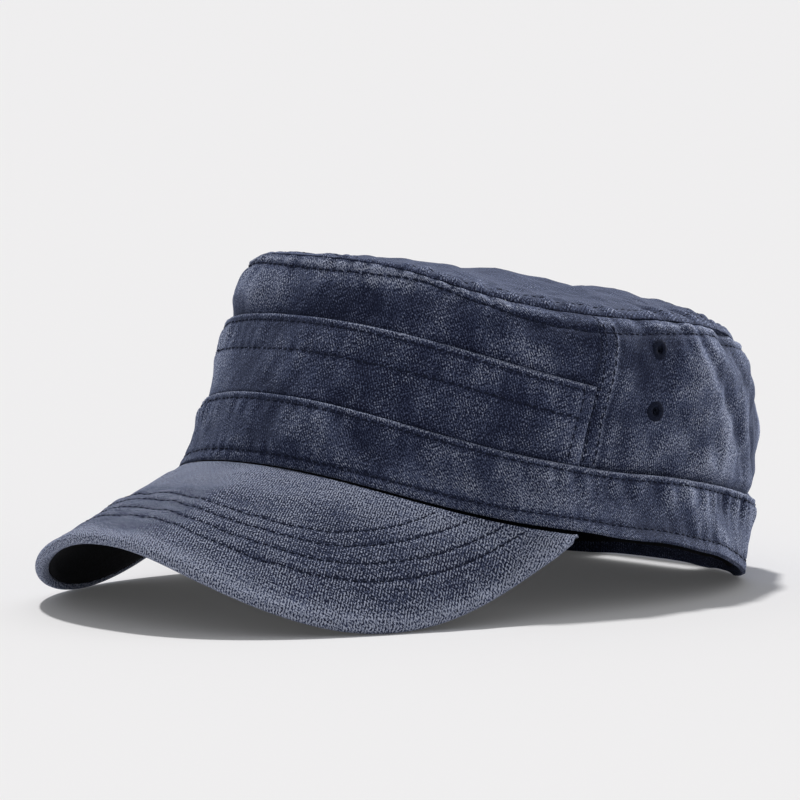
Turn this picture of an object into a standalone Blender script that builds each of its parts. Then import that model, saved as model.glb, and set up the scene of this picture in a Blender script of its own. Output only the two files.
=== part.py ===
"""Cadet cap of soft cloth: a low flat-topped crown on a deep head band, with a curved peak.

The front points to -Y, the wearer's left to +X, and the cap rests on z = 0 on the two low corners of its peak
and on the back of its head band. Sizes are in millimetres, angles in degrees; the meshes are made in metres.
"""
import bpy
import numpy as np
from mathutils import Vector

# Driving sizes
CROWN_WIDTH = 176.0      # across the head band at its bottom edge
CROWN_LENGTH = 186.6     # front to back at the same edge
REAR_HEIGHT = 87.9       # bottom edge to rim at the back, along the leaning crown
CROWN_LEAN = 10.0        # the crown leans to the back by this angle
CROWN_POWER = 2.31       # 2 is an ellipse, more is squarer
SHOULDER_IN = 4.8        # how far the wall rounds in under the rim, in front
SHOULDER_REACH = 16.0    # and over what height
SHOULDER_REAR = 0.2      # share of that rounding left at the back
TOP_RISE = 3.0           # how far the top swells above its rim
TOP_TO_REAR = 0.5        # share by which it swells more at the back and less in front
PEAK_LENGTH = 62.9       # from the crown to the front of the peak
PEAK_WIDTH = 176.5
PEAK_POWER = 2.42
PEAK_SWELL = 1.5         # how far the peak bows up between crown and edge
JOINT_ANGLE = 76.3       # the peak is sewn on between these two angles from the front
PEAK_ENDS = 0.965        # share of the joint that the peak's last sections reach
SEAM_ANGLE = 76.9        # side seams of the wall
SEAM_LAP = 6.3           # width of the raised lap behind each side seam
SEAM_RISE = 0.6
HEM = 6.0                # how far the peak's cover returns underneath
CLOTH = 1.6              # sewn cloth of the wall and band
PEAK_CLOTH = 1.9         # cloth of the peak with its padding
LINING = 1.2             # cloth of the sweatband
GAP = 0.3                # clear space kept between two pieces
SWEATBAND_OVER = 3.0     # how far the sweatband reaches above the head band
EYELET_ANGLE = 90.8
EYELET_RADIUS = 2.1      # middle of the stitched ring
EYELET_ROD = 0.95        # radius of the ring's own thread
WALL_FREE = 0.5          # share of the open wall over which it swells out past the covered part
LAP_FALL = 1.12          # where the wall is level again behind the lap, as a share of the lap's width
FOLD_IN = 0.35           # how far a folded edge draws in on each side
BOTTOM_IN = 0.2          # how far the band's bottom edge draws in
PEAK_DROP = 0.5          # the peak's edge stays at least this far below its joint
PEAK_TAPER = 0.3         # the peak's thickness and roll keep to this share of its reach near its ends
HEM_TAPER = 0.6          # and its hem to this one
PEAK_STEADY = 0.08       # its cloth keeps one direction over this share of the joint at its ends
PEAK_FADE = 0.25         # and turns less from crown to edge over this one
BRINK = 0.2              # how far before the edge its roll begins, as a share of its radius
TOP_EDGE_IN, TOP_ROW_IN = 0.01, 0.012    # how much nearer the middle the top's under side lies, as shares
MM = 0.001

RING_SECTIONS, PEAK_SECTIONS = 72, 33
RING_SIDES, ROD_SIDES, HOLE_SIDES = 14, 6, 20
NORMAL_STEP, PEAK_STEP = 0.4, 0.01       # steps by which a surface's normals are found

# Ovals of the crown: level, half width, front reach, rear reach, as shares of half the width and length
LEVELS = (
    ("bottom", 1.000, 1.057, 0.953),
    ("band", 0.887, 1.027, 1.062),
    ("strip", 0.910, 0.959, 1.022),
    ("rim", 0.845, 0.965, 0.858),
)
# Heights as shares of the rear height: angle from the front, lift of the bottom edge, then band top,
# strip top and rim above that edge
HEIGHTS = (
    (0, 0.544, 0.261, 0.552, 0.762),
    (30, 0.480, 0.261, 0.566, 0.803),
    (60, 0.359, 0.250, 0.558, 0.818),
    (90, 0.252, 0.236, 0.527, 0.815),
    (120, 0.099, 0.270, 0.580, 0.900),
    (150, -0.003, 0.295, 0.611, 0.928),
    (180, -0.003, 0.349, 0.674, 1.000),
)
LIFT, BAND_TOP, STRIP_TOP, RIM = 1, 2, 3, 4
CURVE_START = -120       # the angle at which the curve through the table starts and ends
# Height of the peak's edge, as shares of its length: angle round the peak, height. It ends at its joint.
PEAK_EDGE = ((0, 0.447), (18, 0.335), (36, 0.155), (54, 0.036), (72, 0.104), (81, 0.240))
# Soft folds in the wall: angle, height share of the wall, reach round it, reach up it, depth in
FOLDS = (
    (83, 0.80, 5.0, 0.12, 0.8),
    (118, 0.92, 4.0, 0.10, 1.8),
    (124, 0.62, 4.0, 0.25, 1.5),
    (134, 0.40, 5.0, 0.22, 1.8),
    (108, 0.60, 6.0, 0.30, -0.8),
    (28, 0.90, 9.0, 0.14, 0.9),
)
# Air holes: name, share of the way from band top to rim
AIR_HOLES = (("upper", 0.79), ("lower", 0.39))
# Rows up the head band, up the strip above it, and up the open wall, as shares
BAND_ROWS = (0, 0.05, 0.5, 0.95, 1.0)
STRIP_ROWS = (0.5, 0.95, 1.0)
WALL_ROWS = (0.10, 0.30, 0.52, 0.72, 0.88, 1.0)
# Swell of the top: share of the way out to the rim, share of the rise
TOP_ROWS = ((0.98, 0.0), (0.93, 0.30), (0.82, 0.62), (0.6, 0.90), (0.3, 1.0))

WALL_OUT = -(CLOTH + GAP)
WALL_IN = WALL_OUT - CLOTH
SWEAT_OUT = WALL_IN - GAP
SWEAT_IN = SWEAT_OUT - LINING
STRIP_OUT = -0.15
PEAK_HALF = PEAK_CLOTH + GAP / 2

COLOURS = {
    "denim": (0.045, 0.060, 0.115, 1),
    "denim_worn": (0.085, 0.105, 0.165, 1),
    "lining": (0.010, 0.011, 0.016, 1),
    "thread": (0.016, 0.022, 0.050, 1),
}


def clear_scene():
    for item in list(bpy.data.objects):
        bpy.data.objects.remove(item, do_unlink=True)


def cubic(knots, values, at):
    """Smooth natural cubic curve through a table."""
    knots, values = np.asarray(knots, float), np.asarray(values, float)
    step = np.diff(knots)
    slope = np.diff(values) / step
    system, bends = np.eye(len(knots)), np.zeros(len(knots))
    for i in range(1, len(step)):
        system[i, i - 1:i + 2] = step[i - 1], 2 * (step[i - 1] + step[i]), step[i]
        bends[i] = 6 * (slope[i] - slope[i - 1])
    bends = np.linalg.solve(system, bends)
    i = np.clip(np.searchsorted(knots, at) - 1, 0, len(step) - 1)
    a = (knots[i + 1] - at) / step[i]
    b = 1 - a
    bow = (a ** 3 - a) * bends[i] + (b ** 3 - b) * bends[i + 1]
    return a * values[i] + b * values[i + 1] + bow * step[i] ** 2 / 6


def even(column, turn):
    """A column of the heights table, the same on both sides of the cap, at any angle in degrees."""
    angles = np.array([row[0] for row in HEIGHTS], float)
    values = np.array([row[column] for row in HEIGHTS]) * REAR_HEIGHT
    knots = np.concatenate([-angles[:0:-1], angles, 360 - angles[-2:0:-1], [360]])
    values = np.concatenate([values[:0:-1], values, values[-2:0:-1], values[:1]])
    return cubic(knots, values, (np.asarray(turn, float) - CURVE_START) % 360 + CURVE_START)


def lift(turn):
    """The bottom edge lies flat on the surface where it would sink below it."""
    return np.maximum(even(LIFT, turn), 0)


def power(value, exponent):
    return np.sign(value) * np.abs(value) ** (2 / exponent)


def crown(turn, height):
    """Point of the crown's outer skin, without its folds, at an angle and a height above the bottom edge."""
    turn, height = np.broadcast_arrays(np.asarray(turn, float), np.asarray(height, float))
    knots = [np.zeros_like(height)] + [even(column, turn) for column in (BAND_TOP, STRIP_TOP, RIM)]
    half, front, rear = 0, 0, 0
    for i, (_, half_share, front_share, rear_share) in enumerate(LEVELS):
        weight = 1
        for j, knot in enumerate(knots):
            if j != i:
                weight = weight * (height - knot) / (knots[i] - knot)
        half = half + weight * half_share * CROWN_WIDTH / 2
        front = front + weight * front_share * CROWN_LENGTH / 2
        rear = rear + weight * rear_share * CROWN_LENGTH / 2
    angle, lean = np.radians(turn), np.radians(CROWN_LEAN)
    ahead = power(np.cos(angle), CROWN_POWER)
    x = half * power(np.sin(angle), CROWN_POWER)
    y = -np.where(ahead > 0, front, rear) * ahead + height * np.sin(lean)
    return np.stack([x, y, lift(turn) + height * np.cos(lean)], -1)


def across(surface, first, second, step):
    """Unit normals of a surface by small steps in both of its directions."""
    one = surface(first + step, second) - surface(first - step, second)
    two = surface(first, second + step) - surface(first, second - step)
    normal = np.cross(one, two)
    return normal / np.linalg.norm(normal, axis=-1, keepdims=True)


def fold_depth(turn, height):
    turn = np.abs((turn + 180) % 360 - 180)
    share = height / even(RIM, turn)
    depth = 0
    for angle, middle, reach, tall, deep in FOLDS:
        depth = depth + deep * np.exp(-((turn - angle) / reach) ** 2 - ((share - middle) / tall) ** 2)
    return depth


def skin(turn, height, outward):
    """Point at a distance outward from the crown's outer skin. The bottom row keeps its level."""
    turn, height = np.broadcast_arrays(np.asarray(turn, float), np.asarray(height, float))
    normal = across(crown, turn, height, NORMAL_STEP)
    shoulder = np.clip(1 - (even(RIM, turn) - height) / SHOULDER_REACH, 0, 1)
    rounding = SHOULDER_IN * (1 - (1 - SHOULDER_REAR) * (1 - np.cos(np.radians(turn))) / 2)
    out = np.asarray(outward, float) - fold_depth(turn, height) - rounding * shoulder ** 2
    point = crown(turn, height) + normal * out[..., None]
    base = height < 0.01
    point[base, 2] = lift(turn[base])
    return point


def peak_middle(along, out):
    """Point of the peak's middle layer: along its joint, -1 to 1, and out from the crown, 0 to 1."""
    along, out = np.broadcast_arrays(np.asarray(along, float), np.asarray(out, float))
    joint = crown(along * JOINT_ANGLE, 0)
    end = crown(JOINT_ANGLE, 0)
    # Near its ends the edge moves slower than the joint, so the peak leaves the crown squarely there too.
    round_edge = 90 * (along + 0.5 * np.sign(along) * along ** 4 * (1 - np.abs(along)))
    angle = np.radians(round_edge)
    side, ahead = power(np.sin(angle), PEAK_POWER), power(np.cos(angle), PEAK_POWER)
    front = -LEVELS[0][2] * CROWN_LENGTH / 2 - PEAK_LENGTH
    angles = [row[0] for row in PEAK_EDGE] + [90]
    heights = [row[1] * PEAK_LENGTH for row in PEAK_EDGE] + [end[2]]
    knots = [-a for a in angles[:0:-1]] + angles
    edge = np.stack([
        PEAK_WIDTH / 2 * side - (PEAK_WIDTH / 2 - end[0]) * np.sign(side) * np.abs(side) ** 6,
        end[1] + (front - end[1]) * ahead,
        cubic(knots, heights[:0:-1] + heights, round_edge),
    ], -1)
    joint = joint - [0, 0, PEAK_HALF + GAP]
    edge[..., 2] = np.minimum(edge[..., 2], joint[..., 2] - PEAK_DROP)
    point = joint + (edge - joint) * out[..., None]
    point[..., 2] += PEAK_SWELL * 4 * out * (1 - out)
    return point


def peak_normal(along, out):
    """Upward normal of the peak. It turns less from crown to edge where the peak narrows to its ends."""
    steady = np.clip(along, PEAK_STEADY - PEAK_ENDS, PEAK_ENDS - PEAK_STEADY)
    fade = np.clip((PEAK_ENDS - np.abs(along)) / PEAK_FADE, 0, 1)
    level = 0.5 + (np.clip(out, 2 * PEAK_STEP, 1 - 2 * PEAK_STEP) - 0.5) * fade
    normal = across(peak_middle, steady, level, PEAK_STEP)
    return normal * np.sign(normal[..., 2:])


def rim_rows(share, base, rise=0.0):
    """A ring of the top panel, at a share of the way from its centre to the rim, raised and swelling."""
    rim = skin(RING, even(RIM, RING), 0.0)
    lean = np.radians(CROWN_LEAN)
    up = np.array([0, np.sin(lean), np.cos(lean)])
    centre = (rim[0] + rim[len(rim) // 2]) / 2
    swell = rise * (1 - TOP_TO_REAR * share * np.cos(np.radians(RING)))
    return centre + (rim - centre) * share + up * (GAP / 2 + base + swell)[:, None]


def new_mesh(name, points, faces, material):
    mesh = bpy.data.meshes.new(name)
    mesh.from_pydata([tuple(p) for p in np.asarray(points) * MM], [], faces)
    mesh.validate()
    item = bpy.data.objects.new(name, mesh)
    PARTS.objects.link(item)
    mesh.materials.append(MATERIALS[material])
    bpy.context.view_layer.objects.active = item
    item.select_set(True)
    bpy.ops.object.mode_set(mode="EDIT")
    bpy.ops.mesh.select_all(action="SELECT")
    bpy.ops.mesh.normals_make_consistent(inside=False)
    bpy.ops.object.mode_set(mode="OBJECT")
    item.select_set(False)
    return item


def shell(name, outer, inner, closed, material):
    """Closed sheet of cloth between two skins, each a grid of sections and rows. A closed one is a ring."""
    outer, inner = np.asarray(outer), np.asarray(inner)
    count, rows = outer.shape[:2]
    under = count * rows
    faces = []
    for i in range(count if closed else count - 1):
        a, b = i * rows, (i + 1) % count * rows
        # Both skins are split along the same diagonal, so that the cloth between them keeps its thickness.
        for j in range(rows - 1):
            for one, two, three in ((a + j, b + j, b + j + 1), (a + j, b + j + 1, a + j + 1)):
                faces.append((one, two, three))
                faces.append((under + three, under + two, under + one))
        for j in (0, rows - 1):
            faces.append((a + j, under + a + j, under + b + j, b + j))
    if not closed:
        for a in (0, (count - 1) * rows):
            for j in range(rows - 1):
                faces.append((a + j, a + j + 1, under + a + j + 1, under + a + j))
    return new_mesh(name, np.concatenate([outer.reshape(-1, 3), inner.reshape(-1, 3)]), faces, material)


def ring_between(first, last):
    """The shared angles of the ring that lie between two angles, with these at the ends."""
    turns = np.concatenate([RING - 360, RING])
    step = RING[1] - RING[0]
    inside = turns[(turns > first + step / 4) & (turns < last - step / 4)]
    return np.concatenate([[first], inside, [last]])


def head_band():
    top = even(BAND_TOP, RING)
    turn, share = np.meshgrid(RING, BAND_ROWS, indexing="ij")
    height = top[:, None] * share
    outer = skin(turn, height, -FOLD_IN * (share == 1) - BOTTOM_IN * (share == 0))
    inner = skin(turn, height, -CLOTH + FOLD_IN * (share == 1))
    shell("head_band", outer, inner, True, "denim")


def wall(name, turns, rises):
    """One wall panel, from just above the bottom edge to just under the rim, over a run of angles."""
    band, rim = even(BAND_TOP, turns)[:, None], even(RIM, turns)[:, None] - GAP / 2
    stripped = abs(turns[0]) < SEAM_ANGLE
    cover = even(STRIP_TOP, turns)[:, None] if stripped else band
    height = [band * np.array(BAND_ROWS[1:]), cover + (rim - cover) * np.array(WALL_ROWS)]
    if stripped:
        height.insert(1, band + (cover - band) * np.array(STRIP_ROWS))
    height = np.concatenate(height, 1)
    turn = np.broadcast_to(turns[:, None], height.shape)
    free = np.clip((height - cover) / (rim - cover) / WALL_FREE, 0, 1)
    step = WALL_OUT * (1 - free * free * (3 - 2 * free))
    raised = np.asarray(rises)[:, None] * (height > band + CLOTH)
    return shell(name, skin(turn, height, step + raised), skin(turn, height, step - CLOTH), False, "denim")


def arc_step(turn, length):
    """The angle that a length along the wall at mid height takes up."""
    middle = even(STRIP_TOP, turn)
    span = np.linalg.norm(crown(turn + 0.5, middle) - crown(turn - 0.5, middle))
    return float(length / span)


def walls():
    half_gap = arc_step(SEAM_ANGLE, GAP / 2)
    lap = arc_step(SEAM_ANGLE, SEAM_LAP)
    edge = SEAM_ANGLE - half_gap
    front = ring_between(-edge, edge)
    wall("front_panel", front, np.zeros(len(front)))
    start = SEAM_ANGLE + half_gap
    turns = np.concatenate([[start, start + lap], ring_between(start + lap * LAP_FALL, 180)])
    rises = np.where(turns <= start + lap, SEAM_RISE, 0)
    turns = np.concatenate([turns, 360 - turns[-2::-1]])
    rises = np.concatenate([rises, rises[-2::-1]])
    return wall("back_panel", turns, rises)


def front_strip():
    edge = SEAM_ANGLE - arc_step(SEAM_ANGLE, GAP)
    turns = ring_between(-edge, edge)
    low, high = even(BAND_TOP, turns) + GAP, even(STRIP_TOP, turns)
    turn, share = np.meshgrid(turns, (0, *STRIP_ROWS), indexing="ij")
    height = low[:, None] + (high - low)[:, None] * share
    outer = skin(turn, height, STRIP_OUT - FOLD_IN * (share == 1))
    inner = skin(turn, height, WALL_OUT + GAP)
    shell("front_strip", outer, inner, False, "denim")


def sweatband():
    turn, share = np.meshgrid(RING, BAND_ROWS[1:], indexing="ij")
    height = even(BAND_TOP, turn) * share + (share == 1) * SWEATBAND_OVER
    shell("sweatband", skin(turn, height, SWEAT_OUT), skin(turn, height, SWEAT_IN), True, "lining")


def top_panel():
    """The oval top: rings of its upper and lower skins, closed at the edge and in the middle."""
    outer = [rim_rows(1.0, CLOTH / 2)] + [rim_rows(s, CLOTH, r * TOP_RISE) for s, r in TOP_ROWS]
    inner = [rim_rows(1 - TOP_EDGE_IN, GAP / 2)]
    inner += [rim_rows(s - TOP_ROW_IN, GAP / 2, r * TOP_RISE) for s, r in TOP_ROWS]
    count, rows = len(RING), len(outer)
    points = np.concatenate(outer + inner)
    middle = [rim_rows(0.0, CLOTH, TOP_RISE)[0], rim_rows(0.0, GAP / 2, TOP_RISE)[0]]
    points = np.concatenate([points, middle])
    faces = []
    for i in range(count):
        k = (i + 1) % count
        for skin_start in (0, rows * count):
            for j in range(rows - 1):
                a = skin_start + j * count
                faces.append((a + i, a + k, a + count + k, a + count + i))
        faces.append((i, k, rows * count + k, rows * count + i))
        last = (rows - 1) * count
        faces.append((last + i, last + k, 2 * rows * count))
        last += rows * count
        faces.append((last + i, last + k, 2 * rows * count + 1))
    new_mesh("top_panel", points, faces, "denim")


def peak_sections():
    """Sections along the peak, and its width out from the crown at each."""
    along = np.linspace(-PEAK_ENDS, PEAK_ENDS, PEAK_SECTIONS)
    reach = np.linalg.norm(peak_middle(along, 1.0) - peak_middle(along, 0.0), axis=-1)
    return along, reach


def peak_path(along, reach, path):
    """Skin of the peak through rows: share of the way out, distance across its middle layer, distance beyond
    its edge. The peak thins toward its pointed ends."""
    thin = np.minimum(1, PEAK_TAPER * reach / PEAK_HALF)[:, None]
    rows = []
    for out, lift_by, beyond in path:
        middle = peak_middle(along, out)
        normal = peak_normal(along, out)
        ahead = peak_middle(along, 1.0) - peak_middle(along, 0.9)
        ahead = ahead / np.linalg.norm(ahead, axis=-1, keepdims=True)
        rows.append(middle + normal * lift_by * thin + ahead * np.reshape(beyond, (-1, 1)))
    points = np.stack(rows, 1)
    points[..., 2] = np.maximum(points[..., 2], 0)
    return points


def peak_pieces():
    along, reach = peak_sections()
    hem = 1 - np.minimum(HEM, HEM_TAPER * reach) / reach
    roll = np.minimum(PEAK_HALF, PEAK_TAPER * reach)
    turn = np.radians((60, 20, -20, -60))
    shares = (0, 0.2, 0.4, 0.6, 0.8, 1.0)
    brink = 1 - BRINK * roll / reach
    outer = [(s * hem, PEAK_HALF, 0) for s in shares] + [(brink, PEAK_HALF, 0)]
    outer += [(1.0, PEAK_HALF * np.sin(a), roll * np.cos(a)) for a in turn]
    outer += [(hem, -PEAK_HALF, 0)]
    core = GAP / 2
    inner = [(s * hem, core, 0) for s in shares] + [(brink, core, 0)]
    inner += [(1.0, core * np.sin(a), core * np.cos(a)) for a in turn]
    inner += [(hem, -core, 0)]
    over, beneath = peak_path(along, reach, outer), peak_path(along, reach, inner)
    shell("peak_top", over, beneath, False, "denim_worn")
    edge = hem - GAP / reach
    low = peak_path(along, reach, [(s * edge, -PEAK_HALF, 0) for s in shares])
    high = peak_path(along, reach, [(s * edge, -core, 0) for s in shares])
    shell("peak_under", high, low, False, "lining")


def eyelet_place(share):
    turn = np.array(EYELET_ANGLE)
    height = even(BAND_TOP, turn) + (even(RIM, turn) - even(BAND_TOP, turn)) * share
    free = min(share / WALL_FREE, 1)
    outward = WALL_OUT * (1 - free * free * (3 - 2 * free)) - CLOTH / 2
    place = skin(turn, height, outward)
    facing = skin(turn, height, outward + 1) - place
    return Vector(place * MM), Vector(facing)


def cut_air_holes(panel):
    for side, name in ((1, "left"), (-1, "right")):
        for row, share in AIR_HOLES:
            place, facing = eyelet_place(share)
            place.x, facing.x = side * place.x, side * facing.x
            turned = facing.to_track_quat("Z", "Y").to_euler()
            bpy.ops.mesh.primitive_torus_add(
                location=place, rotation=turned, major_segments=RING_SIDES, minor_segments=ROD_SIDES,
                major_radius=EYELET_RADIUS * MM, minor_radius=EYELET_ROD * MM)
            ring = bpy.context.object
            ring.name = f"eyelet_{name}_{row}"
            ring.data.name = ring.name
            ring.data.materials.append(MATERIALS["thread"])
            move_to(ring, PARTS)
            bpy.ops.mesh.primitive_cylinder_add(
                location=place, rotation=turned, vertices=HOLE_SIDES, depth=6 * CLOTH * MM,
                radius=(EYELET_RADIUS + EYELET_ROD + GAP) * MM)
            cutter = bpy.context.object
            cutter.name = f"hole_{name}_{row}"
            cutter.hide_render = True
            cutter.display_type = "WIRE"
            move_to(cutter, CUTTERS)
            cut = panel.modifiers.new(cutter.name, "BOOLEAN")
            cut.operation, cut.solver, cut.object = "DIFFERENCE", "EXACT", cutter


def move_to(item, collection):
    for other in list(item.users_collection):
        other.objects.unlink(item)
    collection.objects.link(item)


def make_materials():
    made = {}
    for name, colour in COLOURS.items():
        material = bpy.data.materials.new(name)
        material.use_nodes = True
        shader = material.node_tree.nodes["Principled BSDF"]
        shader.inputs["Base Color"].default_value = colour
        shader.inputs["Roughness"].default_value = 0.9
        made[name] = material
    return made


def centre_on_origin():
    """Moves the cap so that its box stands centred on the origin."""
    bpy.context.view_layer.update()
    corners = np.array([item.matrix_world @ Vector(c) for item in PARTS.objects for c in item.bound_box])
    middle = (corners.min(0) + corners.max(0)) / 2
    shift = Vector((-middle[0], -middle[1], -corners[:, 2].min()))
    for item in list(PARTS.objects) + list(CUTTERS.objects):
        item.location += shift


clear_scene()
PARTS = bpy.data.collections.new("cadet_cap")
CUTTERS = bpy.data.collections.new("cadet_cap_cutters")
CUTTERS.hide_render = True
for group in (PARTS, CUTTERS):
    bpy.context.scene.collection.children.link(group)
MATERIALS = make_materials()
RING = np.linspace(0, 360, RING_SECTIONS, endpoint=False)

head_band()
front_strip()
panel = walls()
sweatband()
top_panel()
peak_pieces()
cut_air_holes(panel)
centre_on_origin()
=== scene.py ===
# %% [markdown]
# # A washed cadet cap
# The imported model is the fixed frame: a low crown of sewn cloth with a deep head band, a strip across its
# front and a curved peak. This script dresses it. Each panel of cloth is made again as a fine sheet with
# its folded edges, rows of stitches, puckers and creases, and gets a twill that fades where the real one is
# worn.

# %% Load the frame
import math

import bpy
import numpy as np
from mathutils import Matrix, Vector


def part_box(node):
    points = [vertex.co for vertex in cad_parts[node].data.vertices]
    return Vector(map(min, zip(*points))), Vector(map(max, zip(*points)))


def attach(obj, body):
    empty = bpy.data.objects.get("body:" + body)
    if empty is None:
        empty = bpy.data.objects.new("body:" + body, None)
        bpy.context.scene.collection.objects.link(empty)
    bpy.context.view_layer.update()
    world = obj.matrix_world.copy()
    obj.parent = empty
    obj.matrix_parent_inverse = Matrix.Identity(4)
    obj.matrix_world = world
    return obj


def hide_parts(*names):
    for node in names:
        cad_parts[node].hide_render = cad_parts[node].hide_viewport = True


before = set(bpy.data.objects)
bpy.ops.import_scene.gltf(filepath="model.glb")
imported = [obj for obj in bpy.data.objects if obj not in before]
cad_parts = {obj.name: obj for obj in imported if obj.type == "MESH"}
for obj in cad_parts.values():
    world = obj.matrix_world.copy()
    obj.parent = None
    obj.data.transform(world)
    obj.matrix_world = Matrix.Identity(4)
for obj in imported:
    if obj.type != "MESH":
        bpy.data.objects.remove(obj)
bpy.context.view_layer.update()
scene = bpy.context.scene
print("nodes:", sorted(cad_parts))

# %% [markdown]
# ## The cap's forms
# A soft cap has no flat faces to start from, so its forms are tables of sizes, as a pattern cutter would
# keep them: four ovals at four levels, heights that change round the cap, and the edge of the peak. They
# are the frame's own sizes, but for the rim at the sides, which is lifted by 2 mm as in the photo. All are
# in millimetres and degrees, with the turn counted from the middle of the front towards the wearer's left.

# %% Sizes of the crown and the peak
MM = 0.001
CROWN_WIDTH, CROWN_LENGTH = 176.0, 186.6
REAR_HEIGHT = 87.9
CROWN_LEAN = 10.0
CROWN_POWER = 2.31
SHOULDER_IN, SHOULDER_REACH, SHOULDER_REAR = 4.8, 16.0, 0.2
PEAK_LENGTH, PEAK_WIDTH, PEAK_POWER, PEAK_SWELL = 62.9, 176.5, 2.42, 1.5
JOINT_ANGLE, PEAK_ENDS = 76.3, 0.965
SEAM_ANGLE, SEAM_LAP, SEAM_RISE = 76.9, 6.3, 0.6
CLOTH, PEAK_CLOTH, LINING, GAP = 1.6, 1.9, 1.2, 0.3
PEAK_HALF = PEAK_CLOTH + GAP / 2
PEAK_HEM = 1.4
WALL_OUT = -(CLOTH + GAP)
EASE_IN = 0.8
STRIP_OUT = -0.15 - EASE_IN
# How far up each wall comes out from under its cover: the back wall from the band, the front one from the
# strip
WALL_SWELL = {True: 4.5, False: 9.0}
# Millimetres in a degree of turn, at the side seams
SEAM_DEGREE = 1.536
# Ovals: half width, front reach and rear reach, as shares of half the width and half the length
LEVELS = (
    (1.000, 1.057, 0.953),
    (0.887, 1.027, 1.062),
    (0.910, 0.959, 1.022),
    (0.845, 0.965, 0.858),
)
# Turn, then the lift of the bottom edge, band top, strip top and rim, as shares of the rear height
HEIGHTS = (
    (0, 0.544, 0.261, 0.552, 0.762),
    (30, 0.480, 0.261, 0.566, 0.803),
    (60, 0.359, 0.250, 0.558, 0.818),
    (90, 0.252, 0.236, 0.527, 0.840),
    (120, 0.099, 0.270, 0.580, 0.900),
    (150, -0.003, 0.295, 0.611, 0.928),
    (180, -0.003, 0.349, 0.674, 1.000),
)
LIFT, BAND_TOP, STRIP_TOP, RIM = 1, 2, 3, 4
PEAK_EDGE = ((0, 0.447), (18, 0.335), (36, 0.155), (54, 0.036), (72, 0.104), (81, 0.240))


# %% Smooth curves through the tables
def cubic(knots, values, at):
    """Natural cubic curve through a table."""
    knots, values = np.asarray(knots, float), np.asarray(values, float)
    step = np.diff(knots)
    slope = np.diff(values) / step
    system, bends = np.eye(len(knots)), np.zeros(len(knots))
    for i in range(1, len(step)):
        system[i, i - 1:i + 2] = step[i - 1], 2 * (step[i - 1] + step[i]), step[i]
        bends[i] = 6 * (slope[i] - slope[i - 1])
    bends = np.linalg.solve(system, bends)
    i = np.clip(np.searchsorted(knots, at) - 1, 0, len(step) - 1)
    a = (knots[i + 1] - at) / step[i]
    b = 1 - a
    bow = (a ** 3 - a) * bends[i] + (b ** 3 - b) * bends[i + 1]
    return a * values[i] + b * values[i + 1] + bow * step[i] ** 2 / 6


def even(column, turn):
    """A height at any turn. Both sides of the cap share the table."""
    turns = np.array([row[0] for row in HEIGHTS], float)
    values = np.array([row[column] for row in HEIGHTS]) * REAR_HEIGHT
    knots = np.concatenate([-turns[:0:-1], turns, 360 - turns[-2:0:-1], [360]])
    values = np.concatenate([values[:0:-1], values, values[-2:0:-1], values[:1]])
    return cubic(knots, values, (np.asarray(turn, float) + 120) % 360 - 120)


def signed(turn):
    """The same turn, from -180 to 180."""
    return (np.asarray(turn, float) + 180) % 360 - 180


def hump(value, middle, reach):
    """A soft bell, 1 in its middle."""
    return np.exp(-((value - middle) / reach) ** 2)


def ease(value):
    value = np.clip(value, 0, 1)
    return value * value * (3 - 2 * value)


# %% The crown's outer skin
def power(value, exponent):
    return np.sign(value) * np.abs(value) ** (2 / exponent)


def crown(turn, height):
    """Point of the crown at a turn and a height above the bottom edge."""
    turn, height = np.broadcast_arrays(np.asarray(turn, float), np.asarray(height, float))
    knots = [np.zeros_like(height), even(BAND_TOP, turn), even(STRIP_TOP, turn), even(RIM, turn)]
    half, front, rear = 0, 0, 0
    for i, (half_share, front_share, rear_share) in enumerate(LEVELS):
        weight = 1
        for j, knot in enumerate(knots):
            if j != i:
                weight = weight * (height - knot) / (knots[i] - knot)
        half = half + weight * half_share * CROWN_WIDTH / 2
        front = front + weight * front_share * CROWN_LENGTH / 2
        rear = rear + weight * rear_share * CROWN_LENGTH / 2
    angle, lean = np.radians(turn), np.radians(CROWN_LEAN)
    ahead = power(np.cos(angle), CROWN_POWER)
    x = half * power(np.sin(angle), CROWN_POWER)
    y = -np.where(ahead > 0, front, rear) * ahead + height * np.sin(lean)
    return np.stack([x, y, np.maximum(even(LIFT, turn), 0) + height * np.cos(lean)], -1)


def across(surface, first, second, step):
    """Unit normals of a surface, by small steps in both of its directions."""
    one = surface(first + step, second) - surface(first - step, second)
    two = surface(first, second + step) - surface(first, second - step)
    normal = np.cross(one, two)
    return normal / np.linalg.norm(normal, axis=-1, keepdims=True)


def skin(turn, height, outward):
    """Point at a distance outward from the crown, whose wall rounds in under the rim."""
    turn, height = np.broadcast_arrays(np.asarray(turn, float), np.asarray(height, float))
    normal = across(crown, turn, height, 0.4)
    normal[..., 2] *= ease(height / 8)
    shoulder = np.clip(1 - (even(RIM, turn) - height) / SHOULDER_REACH, 0, 1)
    rounding = SHOULDER_IN * (1 - (1 - SHOULDER_REAR) * (1 - np.cos(np.radians(turn))) / 2)
    out = np.asarray(outward, float) - rounding * shoulder ** 2
    point = crown(turn, height) + normal * out[..., None]
    point[..., 2] = np.maximum(point[..., 2], 0) + edge_rise(turn, height)
    return point


# Where the soft bottom edge stands off the surface behind: turn, reach in degrees, rise in millimetres
REST_GAPS = ((181, 12, 0.55), (156, 6, 0.5), (93, 14, -0.8))


def edge_rise(turn, height):
    """How far the band's loose bottom edge is lifted."""
    rise = 0
    for middle, reach, high in REST_GAPS:
        rise = rise + high * np.exp(-((turn % 360 - middle) / reach) ** 6)
    return rise * (1 - ease(height / 12))


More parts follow.
